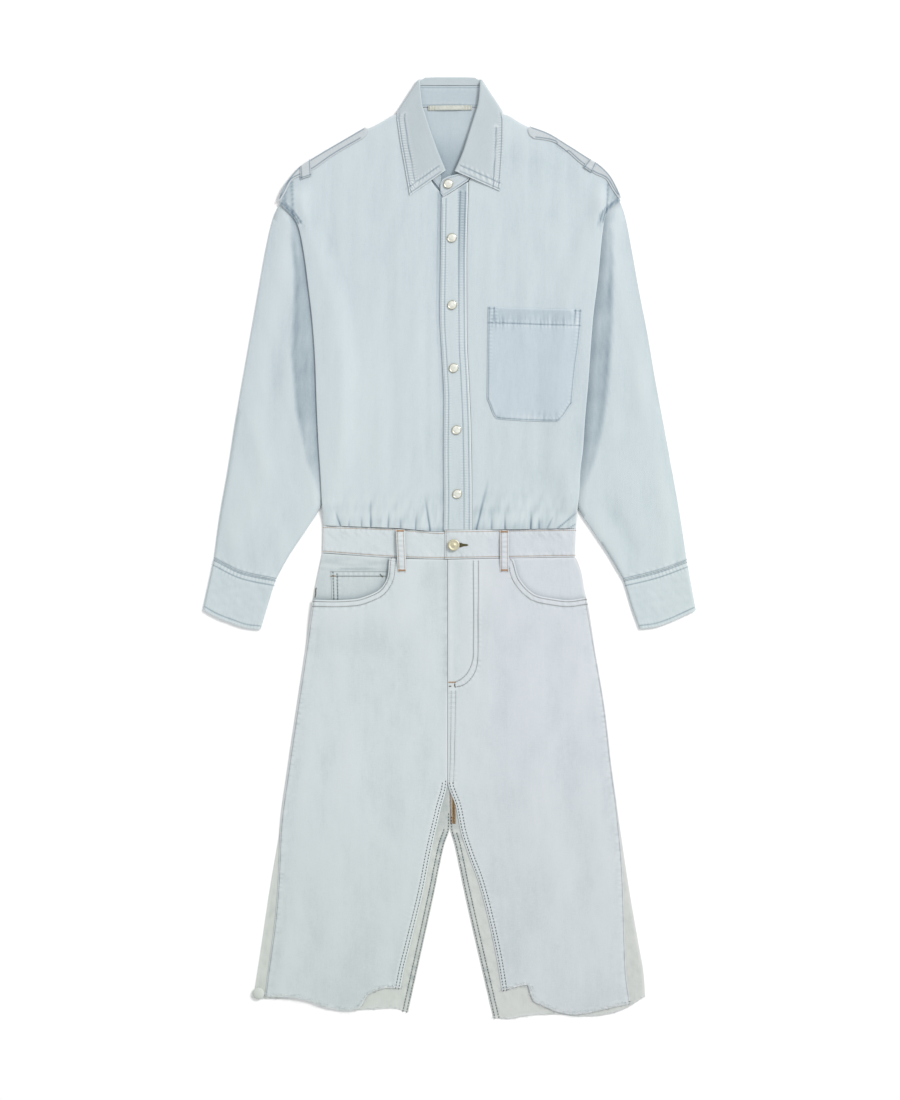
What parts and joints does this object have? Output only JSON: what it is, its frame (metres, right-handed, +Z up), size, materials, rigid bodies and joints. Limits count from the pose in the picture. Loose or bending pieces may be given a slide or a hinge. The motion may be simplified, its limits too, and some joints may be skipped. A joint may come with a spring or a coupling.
{
  "type": "denim shirt dress",
  "caption": "Pale denim dress laid flat: snap-front shirt with chest pocket, straps and long sleeves over a skirt made like jeans with a high slit.",
  "frame": {"origin": "middle of the bounding box in plan, on the surface the dress lies on", "axes": "+X to the viewer's right as the front is seen, +Y from the hem towards the collar, +Z up from the surface, out of the dress's front"},
  "size_m": [0.641, 1.2246, 0.0094],
  "materials": {
    "shirt_denim": "pale washed shirt denim, fine twill, matte",
    "jeans_denim": "pale washed jeans denim, heavier twill, matte",
    "pocket_denim": "slightly bluer washed denim, matte",
    "tape": "cream cotton tape, matte",
    "pearl": "pearly snap cap in a pale metal rim",
    "antique_brass": "matt antique brass"
  },
  "bodies": {
    "root": {"bodice_back": "shirt_denim", "bodice_front_left": "shirt_denim", "bodice_front_right": "shirt_denim", "placket": "shirt_denim", "chest_pocket": "pocket_denim", "collar_leaf": "shirt_denim", "collar_stand": "shirt_denim", "hanger_loop": "tape", "epaulette_left": "shirt_denim", "epaulette_right": "shirt_denim", "strap_carrier_left": "shirt_denim", "strap_carrier_right": "shirt_denim", "sleeve_left": "shirt_denim", "sleeve_right": "shirt_denim", "cuff_left": "shirt_denim", "cuff_right": "shirt_denim", "snap_1": "pearl", "snap_2": "pearl", "snap_3": "pearl", "snap_4": "pearl", "snap_5": "pearl", "snap_6": "pearl", "waistband_front_left": "jeans_denim", "waistband_front_right": "jeans_denim", "waistband_back": "jeans_denim", "jeans_button": "antique_brass", "belt_loop_left": "jeans_denim", "belt_loop_right": "jeans_denim", "skirt_front_left": "jeans_denim", "skirt_front_right": "jeans_denim", "skirt_back_left": "jeans_denim", "skirt_back_right": "jeans_denim", "pocket_facing_left": "pocket_denim", "pocket_facing_right": "jeans_denim", "coin_pocket": "jeans_denim"}
  },
  "joints": []
}
